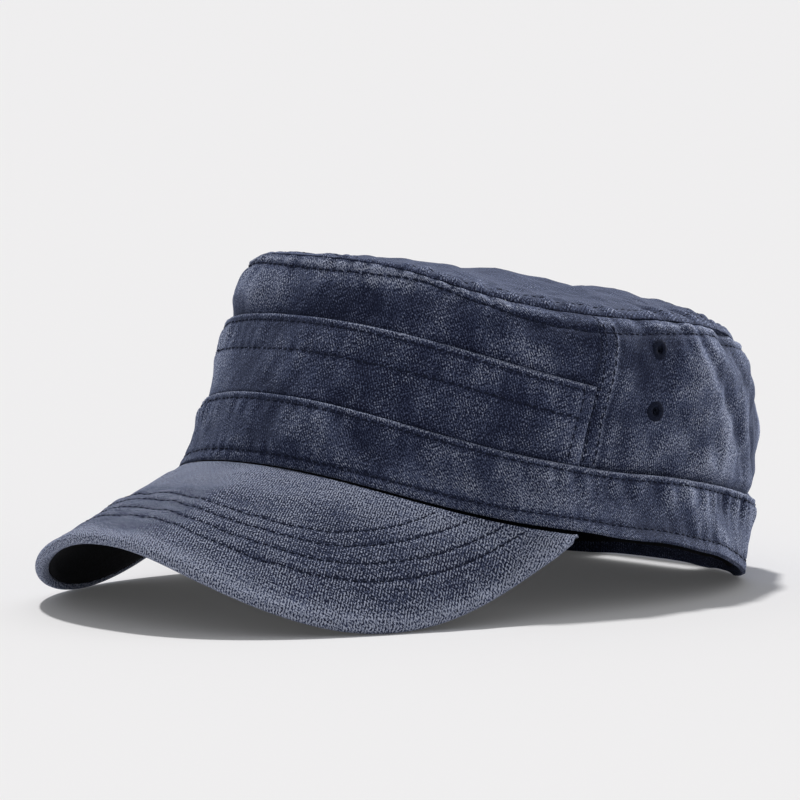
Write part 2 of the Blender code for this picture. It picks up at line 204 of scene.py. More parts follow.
ring = np.linspace(0, 360, 73)
band_reach = skin(ring[:, None], even(BAND_TOP, ring)[:, None] * np.array([0, 0.05, 0.5, 0.95]), 0.0)
SHIFT_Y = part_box("head_band")[1].y / MM - band_reach[..., 1].max()
print(f"crown's own middle is {SHIFT_Y:.2f} mm behind the frame's origin")

# %% [markdown]
# ## Camera and light
# The photograph was taken from far away with a long lens, a little above the surface and from the wearer's
# front left, so near and far sides keep the same size. The camera's place was solved from the seams.

# %% Camera
AZIMUTH, ELEVATION = 47.08, 5.73
DISTANCE, FOCUS_PIXELS = 2026.24, 6012.04
AIM_RIGHT, AIM_UP = -23.77, 61.65
SENSOR, PICTURE = 36.0, 800


def towards(turn, height):
    """Direction of a turn round the cap and a height above the horizon, both in radians."""
    return Vector((math.sin(turn) * math.cos(height), -math.cos(turn) * math.cos(height), math.sin(height)))


azimuth, elevation = math.radians(AZIMUTH), math.radians(ELEVATION)
back = towards(azimuth, elevation)
right = Vector((math.cos(azimuth), math.sin(azimuth), 0))
up = back.cross(right)
aim = right * AIM_RIGHT + Vector((0, SHIFT_Y, AIM_UP))
lens = bpy.data.cameras.new("camera")
lens.sensor_width, lens.lens = SENSOR, FOCUS_PIXELS * SENSOR / PICTURE
lens.clip_start, lens.clip_end = 0.1, 60
camera = bpy.data.objects.new("camera", lens)
scene.collection.objects.link(camera)
facing_cap = Matrix((right, up, back)).transposed().to_4x4()
camera.matrix_world = Matrix.Translation((aim + back * DISTANCE) * MM) @ facing_cap
scene.camera = camera
print("camera at", tuple(round(v, 3) for v in camera.location))

# %% Floor and light
FLOOR_SIZE = 40
bpy.ops.object.select_all(action="DESELECT")
bpy.ops.mesh.primitive_plane_add(size=FLOOR_SIZE)
floor = bpy.context.object
floor.name = "floor"
paper = bpy.data.materials.new("paper")
paper.use_nodes = True
paper_finish = paper.node_tree.nodes["Principled BSDF"].inputs
paper_finish["Base Color"].default_value = (0.86, 0.855, 0.86, 1)
paper_finish["Roughness"].default_value = 0.9
paper_finish["Specular IOR Level"].default_value = 0.1
paper_finish["Emission Color"].default_value = (1, 1, 1, 1)
paper_finish["Emission Strength"].default_value = 0.05
floor.data.materials.append(paper)

world = bpy.data.worlds.new("studio")
world.use_nodes = True
world.node_tree.nodes["Background"].inputs["Color"].default_value = (0.97, 0.98, 1.0, 1)
world.node_tree.nodes["Background"].inputs["Strength"].default_value = 0.35
scene.world = world


def lamp(name, turn, height, strength, softness, colour):
    """A distant softbox: the side that it stands on, its height above the horizon, and how wide it looks."""
    light = bpy.data.lights.new(name, "SUN")
    light.energy, light.angle, light.color = strength, math.radians(softness), colour
    item = bpy.data.objects.new(name, light)
    scene.collection.objects.link(item)
    item.rotation_euler = towards(math.radians(turn), math.radians(height)).to_track_quat("Z", "Y").to_euler()
    return item


# The side lamps light the cap alone, so the floor has one shadow. Turn from the camera, height, strength,
# softness
SIDE_LAMPS = (
    ("left_light", -146, 24, 0.6, 45),
    ("right_light", 138, 22, 4.1, 36),
    ("fill_light", 10, 60, 0.22, 60),
)
WARM_WHITE, COOL_WHITE = (1.0, 0.99, 0.98), (0.97, 0.98, 1.0)
lit_pieces = bpy.data.collections.new("lit_pieces")
lamp("top_light", AZIMUTH - 158, 71, 2.06, 4.5, WARM_WHITE)
for label, from_camera, height, strength, softness in SIDE_LAMPS:
    side_light = lamp(label, AZIMUTH + from_camera, height, strength, softness, COOL_WHITE)
    side_light.light_linking.receiver_collection = lit_pieces

# A flat lamp inside the cap, close to the floor, lights what shows through the gap under the far edge
GAP_LAMP_PLACE, GAP_LAMP_SIZE = (0.005, 0.1095, 0.0032), (0.048, 0.007)
GAP_LAMP_ENERGY = 0.00095
floor_only = bpy.data.collections.new("floor_only")
floor_only.objects.link(floor)
panel = bpy.data.lights.new("gap_light", "AREA")
panel.shape, panel.energy = "RECTANGLE", GAP_LAMP_ENERGY
panel.size, panel.size_y = GAP_LAMP_SIZE
gap_light = bpy.data.objects.new("gap_light", panel)
scene.collection.objects.link(gap_light)
gap_light.location = GAP_LAMP_PLACE
gap_light.visible_camera = False
gap_light.light_linking.receiver_collection = floor_only
scene.view_settings.view_transform = "Standard"

# %% [markdown]
# ## Cloth that isn't smooth
# Washed cloth ripples everywhere and puckers along each row of stitches. Both are sums of waves: ripples
# run in all directions through space, so they meet without a seam, and puckers run across a seam, so they
# depend on the turn alone. A fixed seed gives the same waves each time.


# %% Ripples and puckers
def ripples(seed, shortest, longest, count=36):
    """A field of soft ripples through space, with heights of about -1 to 1."""
    draw = np.random.default_rng(seed)
    heading = draw.normal(size=(count, 3))
    heading /= np.linalg.norm(heading, axis=1, keepdims=True)
    waves = heading * (2 * np.pi / draw.uniform(shortest, longest, (count, 1)))
    phases = draw.uniform(0, 2 * np.pi, count)

    def field(point):
        return np.cos(point @ waves.T + phases).sum(-1) * math.sqrt(2 / count)
    return field


def puckers(seed, fewest, most, count=14):
    """Wrinkles across a seam that runs round the cap: so many in a full turn."""
    draw = np.random.default_rng(seed)
    numbers = draw.integers(fewest, most, count)
    phases = draw.uniform(0, 2 * np.pi, count)

    def field(turn):
        angle = np.radians(np.asarray(turn, float))[..., None]
        return np.cos(angle * numbers + phases).sum(-1) * math.sqrt(2 / count)
    return field


slack = ripples(3, 26, 60)
crumple = ripples(5, 8, 16)
fine = ripples(7, 3.5, 6)
band_puckers, strip_puckers = puckers(11, 62, 110), puckers(12, 50, 90)
rim_puckers, low_puckers, top_puckers = puckers(13, 38, 80), puckers(14, 80, 140), puckers(15, 36, 76)
print("ripples at", np.round([slack(np.zeros(3)), crumple(np.zeros(3)), fine(np.zeros(3))], 2))


# %% [markdown]
# ## From a grid to a sheet
# Every panel starts as Blender's grid, with one square for each millimetre or so of cloth. Its points are
# then laid on the cap, row by row: up the outside, over the folded edge and down the inside. Rows that meet
# are merged, which closes the sheet. The grid's own UV map becomes a ruler in metres along the cloth, for
# the weave to follow.

# %% Lay a grid on the cap
def lay_sheet(name, points, ruler, tones, cap_ends=False):
    """A sheet through a table of points in millimetres (columns round, rows along the profile)."""
    columns, rows = points.shape[:2]
    bpy.ops.object.select_all(action="DESELECT")
    bpy.ops.mesh.primitive_grid_add(x_subdivisions=columns - 1, y_subdivisions=rows - 1, size=1)
    item = bpy.context.object
    item.name = item.data.name = name
    mesh = item.data
    flat = np.zeros(len(mesh.vertices) * 3)
    mesh.vertices.foreach_get("co", flat)
    flat = flat.reshape(-1, 3)
    i = np.rint((flat[:, 0] + 0.5) * (columns - 1)).astype(int)
    j = np.rint((flat[:, 1] + 0.5) * (rows - 1)).astype(int)
    placed = (points[i, j] + [0, SHIFT_Y, 0]) * MM
    mesh.vertices.foreach_set("co", placed.ravel())
    corner = np.zeros(len(mesh.loops), int)
    mesh.loops.foreach_get("vertex_index", corner)
    mesh.uv_layers[0].data.foreach_set("uv", (ruler[i, j] * MM)[corner].ravel())
    for kind, values in tones.items():
        layer = mesh.attributes.new(kind, "FLOAT", "POINT")
        layer.data.foreach_set("value", np.broadcast_to(values, (columns, rows))[i, j].astype(np.float32))
    bpy.ops.object.mode_set(mode="EDIT")
    bpy.ops.mesh.select_all(action="SELECT")
    bpy.ops.mesh.remove_doubles(threshold=2e-6)
    if cap_ends:
        bpy.ops.mesh.select_all(action="DESELECT")
        bpy.ops.mesh.select_non_manifold()
        bpy.ops.mesh.fill_holes(sides=0)
        bpy.ops.mesh.select_all(action="SELECT")
    bpy.ops.mesh.normals_make_consistent(inside=False)
    bpy.ops.object.mode_set(mode="OBJECT")
    bpy.ops.object.shade_smooth()
    item.data.update()
    return item


def place(item, slot, *nodes):
    """The piece moves with the cap and stands for these nodes."""
    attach(item, "root")
    lit_pieces.objects.link(item)
    if nodes:
        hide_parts(*nodes)
    print(item.name, len(item.data.polygons), "faces")
    return item


def lengths(points, axis):
    """Running length along an axis of a table of points."""
    steps = np.linalg.norm(np.diff(points, axis=axis), axis=-1)
    zero = np.zeros_like(np.take(steps, [0], axis=axis))
    return np.concatenate([zero, np.cumsum(steps, axis=axis)], axis=axis)


def rows_between(low, high, step):
    """Even steps of about a size, with both ends."""
    return np.linspace(low, high, max(2, int(round((high - low) / step)) + 1))


# %% [markdown]
# ## Washed denim
# The cloth is a twill: threads dyed navy over a lighter core, so it pales where it rubs. The shader draws the
# twill's diagonal and broken threads on the sheet's ruler and clouds of fading in space. An attribute on
# each sheet adds the worn folds and the painted shade at seams, stitches and covered edges.

# %% Denim shader
DEEP, NAVY = (0.005, 0.007, 0.021), (0.024, 0.031, 0.068)
FADED, PALE = (0.096, 0.117, 0.196), (0.38, 0.41, 0.51)
TWILL_PITCH = 0.88 * MM
TWILL_ANGLE, CROSS_ANGLE = -28, 58


def link(tree, source, target):
    tree.links.new(source, target)


def number(tree, kind, *values):
    """A Math node. A value is a number or a socket."""
    node = tree.nodes.new("ShaderNodeMath")
    node.operation = kind
    for socket, value in zip(node.inputs, values):
        if isinstance(value, (int, float)):
            socket.default_value = value
        else:
            link(tree, value, socket)
    return node.outputs[0]


def clouds(tree, where, size, detail, rough=0.55, stretch=(1, 1, 1)):
    """Noise whose blotches have a size in metres, stretched along an axis by a factor."""
    ruler = tree.nodes.new("ShaderNodeMapping")
    ruler.inputs["Scale"].default_value = tuple(1 / s for s in stretch)
    link(tree, where, ruler.inputs["Vector"])
    noise = tree.nodes.new("ShaderNodeTexNoise")
    noise.inputs["Scale"].default_value = 1 / size
    noise.inputs["Detail"].default_value = detail
    noise.inputs["Roughness"].default_value = rough
    link(tree, ruler.outputs[0], noise.inputs["Vector"])
    return noise.outputs["Fac"]


def spread(tree, value, low, high):
    """Stretches a value from low..high to 0..1, softly."""
    node = tree.nodes.new("ShaderNodeMapRange")
    node.interpolation_type = "SMOOTHSTEP"
    node.inputs["From Min"].default_value, node.inputs["From Max"].default_value = low, high
    link(tree, value, node.inputs["Value"])
    return node.outputs[0]


def stripes(tree, where, angle, pitch):
    """Wavering stripes at an angle, and the ruler that runs across and along them."""
    ruler = tree.nodes.new("ShaderNodeMapping")
    ruler.inputs["Rotation"].default_value = (0, 0, math.radians(angle))
    link(tree, where, ruler.inputs["Vector"])
    wave = tree.nodes.new("ShaderNodeTexWave")
    wave.inputs["Scale"].default_value = 0.314 / pitch
    wave.inputs["Distortion"].default_value = 1.4
    wave.inputs["Detail"].default_value = 2
    wave.inputs["Detail Scale"].default_value = 1.2
    link(tree, ruler.outputs[0], wave.inputs["Vector"])
    return ruler.outputs[0], wave.outputs["Fac"]


def denim(name, base, mottle, grain, ribbing, sheen=0.18):
    """Twill whose tone is base (0 to 1), with clouds of fading and a grain of worn threads."""
    material = bpy.data.materials.new(name)
    material.use_nodes = True
    tree = material.node_tree
    shader = tree.nodes["Principled BSDF"]
    place_in = tree.nodes.new("ShaderNodeTexCoord")
    along, space = place_in.outputs["UV"], place_in.outputs["Object"]
    # The sheet's attribute: paler worn folds, and painted shade at seams, stitches and covered edges
    wear_and_shade_in = tree.nodes.new("ShaderNodeAttribute")
    wear_and_shade_in.attribute_name = "wear_and_shade"

    turned, ribs = stripes(tree, along, TWILL_ANGLE, TWILL_PITCH)
    crossed = stripes(tree, along, CROSS_ANGLE, TWILL_PITCH)[1]
    thread = clouds(tree, turned, 0.46 * MM, 3, 0.65, (0.85, 1.7, 1))
    patches = clouds(tree, space, 15 * MM, 6, 0.66)
    streaks = clouds(tree, along, 4 * MM, 3, 0.5, (0.8, 3.6, 1))
    blots = clouds(tree, space, 46 * MM, 3, 0.5)

    lattice = number(tree, "MULTIPLY_ADD", ribs, ribbing, number(tree, "MULTIPLY", crossed, ribbing * 0.4))
    weave = number(tree, "MULTIPLY_ADD", spread(tree, thread, 0.38, 0.62), 0.56, lattice)
    uneven = number(tree, "MULTIPLY_ADD", clouds(tree, space, 9 * MM, 3), 1.5, 0.25)
    weave = number(tree, "MULTIPLY", number(tree, "SUBTRACT", weave, 0.28 + ribbing * 0.7), uneven)
    cloud = number(tree, "MULTIPLY_ADD", patches, 0.5, number(tree, "MULTIPLY", streaks, 0.28))
    cloud = number(tree, "MULTIPLY_ADD", blots, 0.22, cloud)
    tone = number(tree, "MULTIPLY_ADD", number(tree, "SUBTRACT", cloud, 0.5), mottle, base)
    tone = number(tree, "MULTIPLY_ADD", number(tree, "SUBTRACT", wear_and_shade_in.outputs["Fac"], 0.5), 0.62, tone)
    tone = number(tree, "MULTIPLY_ADD", weave, grain, tone)

    ramp = tree.nodes.new("ShaderNodeValToRGB")
    ramp.color_ramp.interpolation = "EASE"
    stops = ramp.color_ramp.elements
    stops[0].position, stops[0].color = 0.06, (*DEEP, 1)
    stops[1].position, stops[1].color = 1.0, (*PALE, 1)
    for position, colour in ((0.38, NAVY), (0.68, FADED)):
        stop = stops.new(position)
        stop.color = (*colour, 1)
    link(tree, tone, ramp.inputs["Fac"])
    link(tree, ramp.outputs["Color"], shader.inputs["Base Color"])

    pebbles = clouds(tree, space, 2.6 * MM, 3)
    relief = number(tree, "MULTIPLY_ADD", weave, 0.10 * MM, number(tree, "MULTIPLY", pebbles, 0.35 * MM))
    bump = tree.nodes.new("ShaderNodeBump")
    bump.inputs["Strength"].default_value = 0.8
    bump.inputs["Distance"].default_value = 1.0
    link(tree, relief, bump.inputs["Height"])
    link(tree, bump.outputs["Normal"], shader.inputs["Normal"])
    shader.inputs["Roughness"].default_value = 0.92
    shader.inputs["Specular IOR Level"].default_value = 0.12
    shader.inputs["Sheen Weight"].default_value = sheen
    shader.inputs["Sheen Roughness"].default_value = 0.5
    shader.inputs["Sheen Tint"].default_value = (0.50, 0.60, 0.90, 1)
    return material


DENIM = denim("denim", 0.41, 0.70, 1.5, 0.19)
DENIM_WORN = denim("denim_worn", 0.435, 0.65, 2.4, 0.30)
print("materials:", DENIM.name, DENIM_WORN.name)


# %% Dark lining and thread
def plain_cloth(name, colour, pale, size):
    """Dark cloth or thread: a fine grain between two colours."""
    material = bpy.data.materials.new(name)
    material.use_nodes = True
    tree = material.node_tree
    shader = tree.nodes["Principled BSDF"]
    where = tree.nodes.new("ShaderNodeTexCoord")
    grain = clouds(tree, where.outputs["Object"], size, 4)
    mix = tree.nodes.new("ShaderNodeMix")
    mix.data_type = "RGBA"
    mix.inputs["A"].default_value, mix.inputs["B"].default_value = (*colour, 1), (*pale, 1)
    link(tree, spread(tree, grain, 0.35, 0.7), mix.inputs["Factor"])
    link(tree, mix.outputs["Result"], shader.inputs["Base Color"])
    bump = tree.nodes.new("ShaderNodeBump")
    bump.inputs["Distance"].default_value = 0.15 * MM
    link(tree, grain, bump.inputs["Height"])
    link(tree, bump.outputs["Normal"], shader.inputs["Normal"])
    shader.inputs["Roughness"].default_value = 0.9
    shader.inputs["Specular IOR Level"].default_value = 0.12
    return material


# Near-black lining: dark cloth, darkened further as painted shade for the inside of the crown and under the
# peak
LINING_AND_SHADE = plain_cloth("lining", (0.003, 0.0035, 0.005), (0.009, 0.010, 0.014), 0.9 * MM)
THREAD = plain_cloth("thread", (0.006, 0.008, 0.019), (0.020, 0.026, 0.050), 0.4 * MM)
print("materials:", LINING_AND_SHADE.name, THREAD.name)

# %% [markdown]
# ## Head band
# The band is one strip of cloth round the bottom of the crown. Its top edge is folded over and stitched
# down, and its hem is held by a second row of stitches a few millimetres up. Between them the cloth is
# slack, and it gathers into short puckers under the folded edge, most of all behind.

# %% Shape of the head band
HEM_STITCH = 3.9
FOLD_STITCH = 2.1


def slack_weight(turn):
    """Where round the cap the cloth is most gathered: behind, and at the far corner of the front."""
    turn = signed(turn)
    return 0.35 + 0.65 * np.clip(hump(np.abs(turn), 118, 38) + hump(turn, -32, 16), 0, 1)


def band_relief(turn, height):
    low, high = height, even(BAND_TOP, turn) - height
    point = crown(turn, height)
    held = 1 - 0.75 * np.maximum(hump(low, 0, 5), hump(high, 0, 3))
    relief = 0.5 * held * slack(point) + 0.16 * crumple(point) * held + 0.05 * fine(point)
    relief = relief - 0.42 * hump(low, HEM_STITCH, 0.75) + 0.2 * hump(low, HEM_STITCH / 2, 1.4)
    relief = relief - 0.34 * hump(high, FOLD_STITCH, 0.6) + 0.16 * hump(high, 0.9, 0.8)
    gathers = 0.42 * slack_weight(turn) * band_puckers(turn) * hump(high, 5.0, 4.2)
    hem_gathers = 0.14 * low_puckers(turn) * hump(low, 4.5, 4.0)
    return relief + gathers + hem_gathers


def band_skin(turn, height, outward=0.0):
    turn, height = np.broadcast_arrays(np.asarray(turn, float), np.asarray(height, float))
    return skin(turn, height, outward + band_relief(turn, height))


def folded_profile(low, high, thick, step):
    """Heights and outward offsets of a closed sheet: up the outside, over the fold, and down the inside."""
    half = thick / 2
    bend = np.radians([90, 60, 30, 0, -30, -60, -90])
    up_rows = np.arange(0.5, 1.0 / step, 1) * step
    shares = np.concatenate([[0.012], up_rows[(up_rows > 0.03) & (up_rows < 0.96)], [0.975]])
    outside = [low + (high - low) * s for s in shares]
    heights = outside + [high - half + half * math.cos(a) for a in bend[1:-1]]
    offsets = [0.0] * len(outside) + [-half + half * math.sin(a) for a in bend[1:-1]]
    for s in (0.9, 0.6, 0.3, 0.06):
        heights.append(low + (high - low) * s)
        offsets.append(-thick)
    for a in bend[1:-1]:
        heights.append(low + (half - half * math.cos(a)))
        offsets.append(-half - half * math.sin(a))
    heights.append(heights[0])
    offsets.append(offsets[0])
    return np.stack(np.broadcast_arrays(*heights), -1), np.array(offsets)


# Patches where the cloth is made paler or darker: turn, share of the rim's height, reach in both, change
# of tone
TONE_PATCHES = (
    (4, 0.64, 12, 0.15, -0.56), (8, 0.13, 11, 0.10, -0.72), (2, 0.36, 8, 0.15, -0.42),
    (-15, 0.55, 12, 0.35, -0.20), (76, 0.93, 18, 0.10, -0.62), (22, 0.94, 17, 0.05, 0.60),
    (71, 0.51, 5, 0.09, -0.22), (82, 0.55, 3.5, 0.16, 0.22), (67, 0.16, 9, 0.09, -0.28),
    (106, 0.10, 8, 0.09, -0.44), (87, 0.05, 10, 0.05, -0.26), (112, 0.62, 5, 0.12, 0.50),
    (104, 0.53, 4, 0.16, -0.24), (119, 0.89, 6, 0.08, 0.24), (120, 0.22, 4, 0.08, 0.26),
    (45, 0.20, 6, 0.12, -0.19), (43, 0.60, 8, 0.14, -0.26), (46, 0.79, 5, 0.04, 0.20),
    (30, 0.24, 6, 0.06, 0.28), (69, 0.71, 4, 0.04, 0.22), (-26, 0.76, 9, 0.10, -0.26),
    (14, 0.62, 6, 0.05, -0.14), (88, 0.66, 9, 0.12, 0.24), (60, 0.80, 5, 0.06, -0.22),
)


def patch_tone(turn, height):
    tone = 0
    for middle, level, reach, tall, change in TONE_PATCHES:
        tone = tone + change * hump(signed(turn), middle, reach) * hump(height / even(RIM, turn), level, tall)
    return tone


def wear_and_shade_tone(relief, *edges):
    """Paler on ridges and folds, darker in the valleys, with the given marks added: worn edges and painted
    shade.
    """
    tone = 0.5 + 0.35 * (relief - relief.mean())
    for edge in edges:
        tone = tone + edge
    return np.clip(tone, 0, 1)


# %% Make the head band
TURNS = np.linspace(0, 360, 661)


def head_band():
    heights, offsets = folded_profile(np.zeros_like(TURNS), even(BAND_TOP, TURNS), CLOTH, 0.034)
    turn = TURNS[:, None]
    outside = offsets > -CLOTH / 2 - 0.01
    relief = band_relief(turn + 0 * heights, heights) * outside
    points = skin(turn, heights, offsets + relief)
    high = even(BAND_TOP, turn) - heights
    # Paler along the worn fold and the hem's edge; darker in both rows of stitches, partly painted shade, and
    # towards the bottom edge
    fold = 0.42 * hump(high, 0.3, 0.8) * outside
    hem = 0.16 * hump(heights, 0.4, 0.9) - 0.26 * hump(heights, HEM_STITCH, 0.8)
    hem = hem - 0.15 * (1 - ease(heights / 6))
    valley = -0.25 * hump(high, FOLD_STITCH, 0.8)
    tones = {"wear_and_shade": wear_and_shade_tone(relief, fold, hem, valley, patch_tone(turn, heights)) * outside}
    ruler = np.stack([lengths(points[:, :1], 0) + 0 * heights, lengths(points, 1)], -1)
    item = lay_sheet("band_cloth", points, ruler, tones)
    item.data.materials.append(DENIM)
    return place(item, "denim", "head_band")


head_band()

# %% [markdown]
# ## Strip across the front
# A second folded strip lies on the front wall, above the band, from seam to seam. One row of stitches holds
# its folded edge, one runs along its middle, and one closes each end beside the seam.

# %% Shape of the strip
STRIP_MIDDLE = 11.2
STRIP_END = 4.3


def strip_relief(turn, height):
    high = even(STRIP_TOP, turn) - height
    low = height - even(BAND_TOP, turn)
    side = (SEAM_ANGLE - np.abs(signed(turn))) * math.radians(1) * CROWN_WIDTH / 2
    point = crown(turn, height)
    held = 1 - 0.7 * hump(high, 0, 3)
    relief = 0.45 * held * slack(point + 40) + 0.16 * crumple(point + 9) * held + 0.05 * fine(point)
    relief = relief - 0.34 * hump(high, FOLD_STITCH, 0.6) + 0.16 * hump(high, 0.9, 0.8)
    relief = relief - 0.34 * hump(high, STRIP_MIDDLE, 0.8)
    relief = relief - 0.3 * hump(side, STRIP_END, 0.8) * (low > -1)
    gathers = 0.34 * slack_weight(turn) * strip_puckers(turn) * hump(high, 6.5, 4.5)
    return relief + gathers + 0.12 * low_puckers(turn) * hump(high, STRIP_MIDDLE, 3.0)


def strip_skin(turn, height, outward=0.0):
    turn, height = np.broadcast_arrays(np.asarray(turn, float), np.asarray(height, float))
    return skin(turn, height, outward + strip_relief(turn, height) + STRIP_OUT)


# %% Make the strip
def front_strip():
    turns = rows_between(-(SEAM_ANGLE - 0.25), SEAM_ANGLE - 0.25, 0.55)
    low, high = even(BAND_TOP, turns) - 1.2, even(STRIP_TOP, turns)
    heights, offsets = folded_profile(low, high, CLOTH, 0.036)
    turn = turns[:, None]
    outside = offsets > -CLOTH / 2 - 0.01
    relief = strip_relief(turn + 0 * heights, heights) * outside
    tucked = -1.5 * ease((even(BAND_TOP, turn) + 0.4 - heights) / 1.6) * outside
    points = skin(turn, heights, offsets + relief + tucked + STRIP_OUT)
    above = even(STRIP_TOP, turn) - heights
    fold = 0.40 * hump(above, 0.3, 0.8) * outside
    # Darker in the rows of stitches, partly painted shade; painted shade where the strip comes out from under
    # the band's folded edge
    grooves = -0.25 * hump(above, FOLD_STITCH, 0.8) - 0.2 * hump(above, STRIP_MIDDLE, 0.8)
    shaded = -0.25 * hump(heights - even(BAND_TOP, turn), 0, 2.0)
    tones = {"wear_and_shade": wear_and_shade_tone(relief, fold, grooves, shaded, patch_tone(turn, heights))}
    ruler = np.stack([lengths(points[:, :1], 0) + 0 * heights, lengths(points, 1)], -1)
    item = lay_sheet("strip_cloth", points, ruler, tones, cap_ends=True)
    item.data.materials.append(DENIM)
    return place(item, "denim", "front_strip")


front_strip()

# %% [markdown]
# ## Walls of the crown
# The front wall and the back wall meet in a felled seam on each side: the back wall's edge is folded over
# the front one as a raised lap. At the top each wall is sewn to the oval top and stitched down again a few
# millimetres below, which leaves a puffed, puckered roll between the two rows. Behind the seam the crown
# has collapsed a little, into slanting creases.

# %% Shape of the walls
# Turn, and how far below the rim the row of stitches runs there
RIM_STITCH = (
    (-180, 4.2), (-60, 3.6), (-20, 2.8), (5, 3.6), (20, 3.4), (34, 2.4), (48, 4.6),
    (62, 6.6), (80, 7.2), (92, 5.2), (110, 3.4), (125, 3.8), (180, 4.2),
)
# Soft folds: turn, share of the wall's height, reach in degrees and share, slant in degrees per share,
# depth in mm
CREASES = (
    (83, 0.80, 5.0, 0.12, 0, 0.9),
    (118, 0.93, 4.0, 0.10, 0, 2.0),
    (112, 0.66, 3.2, 0.30, -42, 1.5),
    (124, 0.55, 3.0, 0.26, -42, -0.4),
    (131, 0.60, 3.4, 0.26, -36, 1.1),
    (141, 0.45, 4.5, 0.20, -30, -0.3),
    (136, 0.78, 15.0, 0.26, 0, 1.3),
    (104, 0.60, 6.0, 0.30, -20, -0.8),
    (60, 0.88, 8.0, 0.05, 0, 0.7),
    (28, 0.90, 9.0, 0.10, 0, 0.7),
    (-118, 0.90, 4.0, 0.10, 0, 1.8),
    (-124, 0.62, 4.0, 0.25, 30, 1.5),
    (-140, 0.45, 5.0, 0.22, 24, 1.4),
    (-38, 0.93, 8.0, 0.08, 0, 1.0),
    (168, 0.70, 7.0, 0.25, 10, 0.9),
)


def rim_stitch(turn):
    table = np.array(RIM_STITCH, float)
    return np.interp(signed(turn), table[:, 0], table[:, 1])


def wall_relief(turn, height, cover):
    rim = even(RIM, turn)
    below, above = rim - height, height - cover
    row = rim_stitch(turn)
    point = crown(turn, height)
    held = 1 - 0.6 * np.maximum(hump(below, 0, 5), hump(above, 0, 3))
    relief = 0.75 * held * slack(point - 25) + 0.24 * crumple(point) * held + 0.06 * fine(point)
    relief = relief - 0.5 * hump(below, row, 0.8)
    puff = hump(below, row * 0.48, row * 0.40)
    relief = relief + puff * (0.45 + 0.38 * rim_puckers(turn))
    relief = relief + 0.36 * rim_puckers(turn) * hump(below, row + 3.6, 3.4) * slack_weight(turn)
    share, angle = height / rim, signed(turn)
    for middle, level, reach, tall, slant, deep in CREASES:
        line = middle + slant * (share - level)
        relief = relief - deep * hump(angle, line, reach) * hump(share, level, tall)
    return relief


def behind_seam(turn):
    """Distance behind the side seam, the same on both sides."""
    return (np.abs(signed(turn)) - SEAM_ANGLE) * math.radians(1) * CROWN_WIDTH / 2


def lap_rise(turn):
    """The back wall's edge is a raised lap. It falls off behind, and goes under the front wall."""
    behind = behind_seam(turn)
    edge = ease(behind / 0.9)
    raised = SEAM_RISE * 1.35 * edge * (1 - ease((behind - SEAM_LAP + 0.6) / 1.2))
    return raised - 1.0 * (1 - edge) * (behind < 0.9)


def wall_skin(turn, height, outward=0.0, back_side=False):
    """A wall rises from under the strip or band. The back one is tucked in behind the band."""
    turn, height = np.broadcast_arrays(np.asarray(turn, float), np.asarray(height, float))
    cover = even(BAND_TOP if back_side else STRIP_TOP, turn)
    step = WALL_OUT * (1 - ease((height - cover) / WALL_SWELL[back_side])) * 0.9
    lap = lap_rise(turn) * ease((even(RIM, turn) - height) / 2.0) if back_side else 0
    tuck = -2.0 * ease((cover + 0.8 - height) / 2.4) if back_side else 0
    return skin(turn, height, outward + step + lap + tuck + wall_relief(turn, height, cover) - EASE_IN)


# %% Make the walls
def wall(name, node, turns, back_side):
    cover = even(BAND_TOP if back_side else STRIP_TOP, turns)[:, None]
    rim = even(RIM, turns)[:, None]
    shares = np.concatenate([np.linspace(-0.12, 0.0, 3)[:-1], np.linspace(0, 1, 56)])
    outer_height = cover + (rim - 0.5 - cover) * shares
    roll = np.array([(0.25, -0.25), (0.05, -0.8), (0.25, -1.35)])
    inner_shares = np.array([0.9, 0.6, 0.3, -0.12])
    heights = np.concatenate([outer_height, rim - roll[:, 0], cover + (rim - cover) * inner_shares], 1)
    offsets = np.concatenate([np.zeros(len(shares)), roll[:, 1], np.full(len(inner_shares), -CLOTH)])
    heights = np.concatenate([heights, heights[:, :1]], 1)
    offsets = np.append(offsets, 0.0)
    turn = turns[:, None] + 0 * heights
    points = wall_skin(turn, heights, offsets, back_side)
    relief = wall_relief(turn, heights, cover)
    below = rim - heights
    # Paler on the puffed roll; darker in the row of stitches, partly painted shade; painted shade in the seam
    # at the rim and where the wall comes out from under the strip or band
    puff = 0.26 * hump(below, rim_stitch(turn) * 0.45, 1.2)
    groove = -0.24 * hump(below, rim_stitch(turn), 0.8) - 0.3 * hump(below, 0, 0.5)
    shaded = -0.28 * hump(heights - cover, 0, 2.2)
    # Back wall: the edges of the raised lap paler, partly worn and partly a painted highlight, and painted
    # shade just past it. Front wall: painted shade along the seam under the lap
    behind = behind_seam(turn)
    ridge = 0.3 * hump(behind, 1.1, 0.7) + 0.34 * hump(behind, SEAM_LAP - 0.9, 0.9)
    ridge = ridge - 0.25 * hump(behind, SEAM_LAP + 1.4, 1.2)
    seam = ridge if back_side else -0.3 * hump(behind, 0, 1.5)
    tones = {"wear_and_shade": wear_and_shade_tone(relief * 0.8, puff, groove, shaded, seam, patch_tone(turn, heights))}
    ruler = np.stack([lengths(points[:, :1], 0) + 0 * heights, lengths(points, 1)], -1)
    item = lay_sheet(name, points, ruler, tones, cap_ends=True)
    item.data.materials.append(DENIM)
    return place(item, "denim", node)


front_end = SEAM_ANGLE - 0.1
wall("front_wall_cloth", "front_panel", rows_between(-front_end, front_end, 0.55), False)
lap_turns = SEAM_ANGLE + np.array([-3.0, -1.5, 0.1, 0.25, 0.45, 0.7, 1.0, 1.4])
rest = np.linspace(SEAM_ANGLE + 1.9, 360 - SEAM_ANGLE - 1.9, 380)
back_turns = np.concatenate([lap_turns, rest, 360 - lap_turns[::-1]])
back_wall = wall("back_wall_cloth", "back_panel", back_turns, True)

